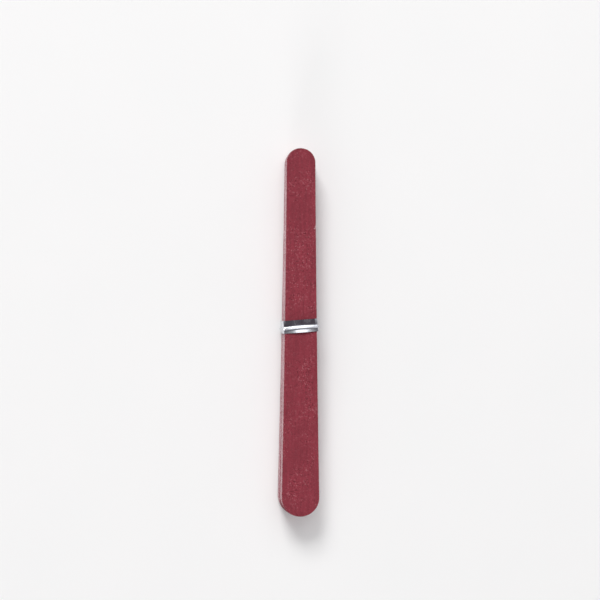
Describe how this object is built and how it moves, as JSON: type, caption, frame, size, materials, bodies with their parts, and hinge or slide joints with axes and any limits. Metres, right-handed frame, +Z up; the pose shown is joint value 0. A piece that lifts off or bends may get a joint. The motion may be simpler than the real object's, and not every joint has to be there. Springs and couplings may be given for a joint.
{
  "type": "emery board bundle",
  "caption": "Bundle of slim tapered emery boards with round ends, dark red abrasive paper on board cores, held round the middle by a silver wire twist tie.",
  "frame": {"origin": "under the middle of the bundle, on the surface that it lies on", "axes": "+Y along the boards to their narrow ends, +Z up through the stack with the coarse faces up"},
  "size_m": [0.0122, 0.1152, 0.0099],
  "materials": {
    "core_board": "matte",
    "coarse_abrasive": "matte",
    "fine_abrasive": "matte",
    "silver_film": "gloss",
    "iron_wire": "satin"
  },
  "bodies": {
    "tie": {"tie_ribbon": "silver_film", "tie_wire": "iron_wire"},
    "board_01": {"board_01_fine_paper": "fine_abrasive", "board_01_core": "core_board", "board_01_coarse_paper": "coarse_abrasive"},
    "board_02": {"board_02_fine_paper": "fine_abrasive", "board_02_core": "core_board", "board_02_coarse_paper": "coarse_abrasive"},
    "board_03": {"board_03_fine_paper": "fine_abrasive", "board_03_core": "core_board", "board_03_coarse_paper": "coarse_abrasive"},
    "board_04": {"board_04_fine_paper": "fine_abrasive", "board_04_core": "core_board", "board_04_coarse_paper": "coarse_abrasive"},
    "board_05": {"board_05_fine_paper": "fine_abrasive", "board_05_core": "core_board", "board_05_coarse_paper": "coarse_abrasive"},
    "board_06": {"board_06_fine_paper": "fine_abrasive", "board_06_core": "core_board", "board_06_coarse_paper": "coarse_abrasive"},
    "board_07": {"board_07_fine_paper": "fine_abrasive", "board_07_core": "core_board", "board_07_coarse_paper": "coarse_abrasive"},
    "board_08": {"board_08_fine_paper": "fine_abrasive", "board_08_core": "core_board", "board_08_coarse_paper": "coarse_abrasive"},
    "board_09": {"board_09_fine_paper": "fine_abrasive", "board_09_core": "core_board", "board_09_coarse_paper": "coarse_abrasive"},
    "board_10": {"board_10_fine_paper": "fine_abrasive", "board_10_core": "core_board", "board_10_coarse_paper": "coarse_abrasive"}
  },
  "joints": [
    {"name": "board_01_draw", "type": "slide", "parent": "tie", "child": "board_01", "axis": [0, -1, 0], "range_m": [0, 0.06]},
    {"name": "board_02_draw", "type": "slide", "parent": "tie", "child": "board_02", "axis": [0, -1, 0], "range_m": [0, 0.06]},
    {"name": "board_03_draw", "type": "slide", "parent": "tie", "child": "board_03", "axis": [0, -1, 0], "range_m": [0, 0.06]},
    {"name": "board_04_draw", "type": "slide", "parent": "tie", "child": "board_04", "axis": [0, -1, 0], "range_m": [0, 0.06]},
    {"name": "board_05_draw", "type": "slide", "parent": "tie", "child": "board_05", "axis": [0, -1, 0], "range_m": [0, 0.06]},
    {"name": "board_06_draw", "type": "slide", "parent": "tie", "child": "board_06", "axis": [0, -1, 0], "range_m": [0, 0.06]},
    {"name": "board_07_draw", "type": "slide", "parent": "tie", "child": "board_07", "axis": [0, -1, 0], "range_m": [0, 0.06]},
    {"name": "board_08_draw", "type": "slide", "parent": "tie", "child": "board_08", "axis": [0, -1, 0], "range_m": [0, 0.06]},
    {"name": "board_09_draw", "type": "slide", "parent": "tie", "child": "board_09", "axis": [0, -1, 0], "range_m": [0, 0.06]},
    {"name": "board_10_draw", "type": "slide", "parent": "tie", "child": "board_10", "axis": [0, -1, 0], "range_m": [0, 0.06]}
  ]
}
